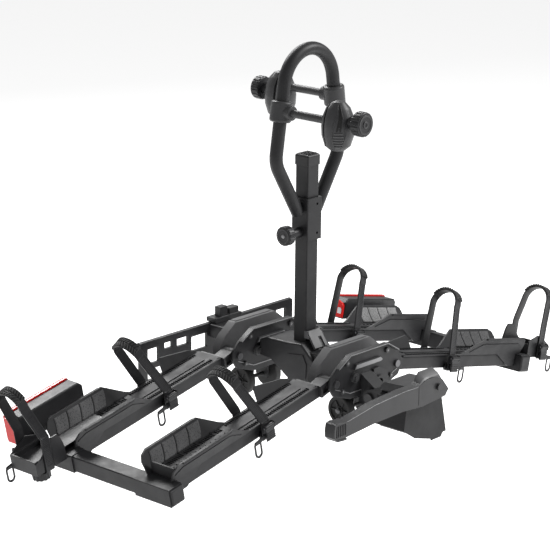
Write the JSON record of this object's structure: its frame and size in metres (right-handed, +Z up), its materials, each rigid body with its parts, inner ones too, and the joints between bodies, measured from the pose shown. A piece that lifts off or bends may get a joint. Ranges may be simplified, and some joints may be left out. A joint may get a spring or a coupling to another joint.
{
  "type": "hitch mounted bike rack",
  "caption": "Folding bicycle rack for a tow ball: mast with hoop and frame clamps, wheel trays with ratchet straps, fold-up halves, tilting chassis and tail lamps.",
  "frame": {"origin": "centre of the tow ball in the coupling's socket", "axes": "+X along the wheel trays, +Y to the rear away from the vehicle, +Z up"},
  "size_m": [1.6132, 0.724, 0.9564],
  "materials": {
    "black_steel": "satin powder coat",
    "black_cast": "textured powder coat",
    "dark_plastic": "fine grain",
    "tray_plastic": "fine grain",
    "grey_plastic": "satin",
    "strap_plastic": "matt",
    "wheel_rubber": "matt",
    "zinc_steel": "plated",
    "red_lens": "clear gloss"
  },
  "bodies": {
    "coupling": {"coupling_body": "black_cast", "coupling_cover": "dark_plastic", "coupling_pins": "zinc_steel"},
    "clamp_lever": {"lever_channel": "dark_plastic", "lever_grip": "dark_plastic"},
    "clamp_jaw": {"clamp_jaw": "zinc_steel"},
    "tilt_catch": {"tilt_catch": "zinc_steel"},
    "chassis": {"spine": "black_steel", "chassis_brackets": "black_cast", "mast_foot": "black_cast", "arch_plate_f": "black_steel", "arch_plate_r": "black_steel", "hinge_cover_f": "grey_plastic", "hinge_cover_r": "grey_plastic", "arch_hardware": "zinc_steel", "fold_pins": "zinc_steel", "plate_holder": "dark_plastic", "plate_lamp": "dark_plastic", "mast_tube": "black_steel", "mast_cap": "dark_plastic"},
    "release_handle": {"release_handle": "grey_plastic"},
    "hoop": {"sleeve": "black_steel", "hoop": "black_steel", "clamp_arm_f": "dark_plastic", "clamp_arm_r": "dark_plastic"},
    "sleeve_knob": {"sleeve_knob": "dark_plastic"},
    "clamp_half_f": {"clamp_half_f": "dark_plastic"},
    "clamp_half_r": {"clamp_half_r": "dark_plastic"},
    "clamp_knob_f": {"clamp_knob_f": "dark_plastic"},
    "clamp_knob_r": {"clamp_knob_r": "dark_plastic"},
    "wheels_f": {"wheels_f": "wheel_rubber"},
    "wheels_r": {"wheels_r": "wheel_rubber"},
    "platform_l": {"beams_l": "black_steel", "tray_lf": "tray_plastic", "tray_lr": "tray_plastic", "knuckles_l": "black_cast", "cross_tube_l": "black_steel", "straps_l": "strap_plastic", "lamp_housing_l": "dark_plastic", "lamp_lens_l": "red_lens"},
    "extension_l": {"extension_l": "dark_plastic", "strap_ext_l": "strap_plastic"},
    "extension_knob_l": {"extension_knob_l": "dark_plastic"},
    "buckle_lever_lf": {"buckle_lever_lf": "strap_plastic"},
    "buckle_lever_lr": {"buckle_lever_lr": "strap_plastic"},
    "buckle_lever_ext_l": {"buckle_lever_ext_l": "strap_plastic"},
    "platform_r": {"beams_r": "black_steel", "tray_rf": "tray_plastic", "tray_rr": "tray_plastic", "knuckles_r": "black_cast", "cross_tube_r": "black_steel", "straps_r": "strap_plastic", "lamp_housing_r": "dark_plastic", "lamp_lens_r": "red_lens"},
    "extension_r": {"extension_r": "dark_plastic", "strap_ext_r": "strap_plastic"},
    "extension_knob_r": {"extension_knob_r": "dark_plastic"},
    "buckle_lever_rf": {"buckle_lever_rf": "strap_plastic"},
    "buckle_lever_rr": {"buckle_lever_rr": "strap_plastic"},
    "buckle_lever_ext_r": {"buckle_lever_ext_r": "strap_plastic"}
  },
  "joints": [
    {"name": "tilt", "type": "hinge", "parent": "coupling", "child": "chassis", "pos_m": [0, 0.088, 0.028], "axis": [-1, 0, 0], "range_deg": [0, 30]},
    {"name": "clamp_lever_swing", "type": "hinge", "parent": "coupling", "child": "clamp_lever", "pos_m": [0.01, -0.069, 0.086], "axis": [0, 1, 0], "range_deg": [0, 80]},
    {"name": "clamp_jaw_slide", "type": "slide", "parent": "coupling", "child": "clamp_jaw", "axis": [0, -1, 0], "range_m": [0, 0.0076]},
    {"name": "tilt_catch_swing", "type": "hinge", "parent": "coupling", "child": "tilt_catch", "pos_m": [-0.041, 0.05, 0.03], "axis": [-1, 0, 0], "range_deg": [0, 25], "stiffness_Nm_per_rad": 0.1, "springref_deg": -11.46},
    {"name": "release_handle_swing", "type": "hinge", "parent": "chassis", "child": "release_handle", "pos_m": [0.001, 0.3, 0.14], "axis": [-1, 0, 0], "range_deg": [0, 35], "stiffness_Nm_per_rad": 0.1, "springref_deg": -11.46},
    {"name": "fold_l", "type": "hinge", "parent": "chassis", "child": "platform_l", "pos_m": [-0.113, 0.34, 0.072], "axis": [0, 1, 0], "range_deg": [0, 85]},
    {"name": "fold_r", "type": "hinge", "parent": "chassis", "child": "platform_r", "pos_m": [0.113, 0.34, 0.072], "axis": [0, -1, 0], "range_deg": [0, 85]},
    {"name": "hoop_height", "type": "slide", "parent": "chassis", "child": "hoop", "axis": [0, 0, 1], "range_m": [-0.12, 0.05]},
    {"name": "sleeve_knob_turn", "type": "hinge", "parent": "hoop", "child": "sleeve_knob", "pos_m": [-0.074, 0.326, 0.391], "axis": [1, 0, 0], "continuous": true},
    {"name": "clamp_half_f_slide", "type": "slide", "parent": "hoop", "child": "clamp_half_f", "axis": [0, -1, 0], "range_m": [0, 0.0251]},
    {"name": "clamp_knob_f_turn", "type": "hinge", "parent": "clamp_half_f", "child": "clamp_knob_f", "pos_m": [-0.09648, 0.08, 0.703], "axis": [0, -1, 0], "range_deg": [0, 1800]},
    {"name": "clamp_half_r_slide", "type": "slide", "parent": "hoop", "child": "clamp_half_r", "axis": [0, 1, 0], "range_m": [0, 0.0251]},
    {"name": "clamp_knob_r_turn", "type": "hinge", "parent": "clamp_half_r", "child": "clamp_knob_r", "pos_m": [0.09452, 0.564, 0.696], "axis": [0, 1, 0], "range_deg": [0, 1800]},
    {"name": "wheels_f_spin", "type": "hinge", "parent": "chassis", "child": "wheels_f", "pos_m": [0, 0.164, -0.016], "axis": [1, 0, 0], "continuous": true},
    {"name": "wheels_r_spin", "type": "hinge", "parent": "chassis", "child": "wheels_r", "pos_m": [0, 0.489, -0.016], "axis": [1, 0, 0], "continuous": true},
    {"name": "extension_l_slide", "type": "slide", "parent": "platform_l", "child": "extension_l", "axis": [-0.9778, 0, -0.2096], "range_m": [0, 0.08]},
    {"name": "extension_knob_l_turn", "type": "hinge", "parent": "extension_l", "child": "extension_knob_l", "pos_m": [-0.73517, 0.4745, -0.07243], "axis": [-0.2096, 0, 0.9778], "continuous": true},
    {"name": "buckle_lf_swing", "type": "hinge", "parent": "platform_l", "child": "buckle_lever_lf", "pos_m": [-0.34783, 0.127, 0.02902], "axis": [-0.9778, 0, -0.2096], "range_deg": [0, 100]},
    {"name": "buckle_lr_swing", "type": "hinge", "parent": "platform_l", "child": "buckle_lever_lr", "pos_m": [-0.34783, 0.44, 0.02902], "axis": [-0.9778, 0, -0.2096], "range_deg": [0, 100]},
    {"name": "buckle_ext_l_swing", "type": "hinge", "parent": "extension_l", "child": "buckle_lever_ext_l", "pos_m": [-0.73419, 0.553, -0.02926], "axis": [0.9778, 0, 0.2096], "range_deg": [0, 100]},
    {"name": "extension_r_slide", "type": "slide", "parent": "platform_r", "child": "extension_r", "axis": [0.9778, 0, -0.2096], "range_m": [0, 0.08]},
    {"name": "extension_knob_r_turn", "type": "hinge", "parent": "extension_r", "child": "extension_knob_r", "pos_m": [0.73517, 0.2055, -0.07243], "axis": [0.2096, 0, 0.9778], "continuous": true},
    {"name": "buckle_rf_swing", "type": "hinge", "parent": "platform_r", "child": "buckle_lever_rf", "pos_m": [0.34783, 0.127, 0.02902], "axis": [-0.9778, 0, 0.2096], "range_deg": [0, 100]},
    {"name": "buckle_rr_swing", "type": "hinge", "parent": "platform_r", "child": "buckle_lever_rr", "pos_m": [0.34783, 0.44, 0.02902], "axis": [-0.9778, 0, 0.2096], "range_deg": [0, 100]},
    {"name": "buckle_ext_r_swing", "type": "hinge", "parent": "extension_r", "child": "buckle_lever_ext_r", "pos_m": [0.73419, 0.127, -0.02926], "axis": [-0.9778, 0, 0.2096], "range_deg": [0, 100]}
  ],
  "couplings": [
    {"joint": "clamp_jaw_slide", "follows": "clamp_lever_swing", "m_per_rad": 0.0054},
    {"joint": "clamp_half_f_slide", "follows": "clamp_knob_f_turn", "m_per_rad": 0.0007957},
    {"joint": "clamp_half_r_slide", "follows": "clamp_knob_r_turn", "m_per_rad": 0.0007957}
  ]
}
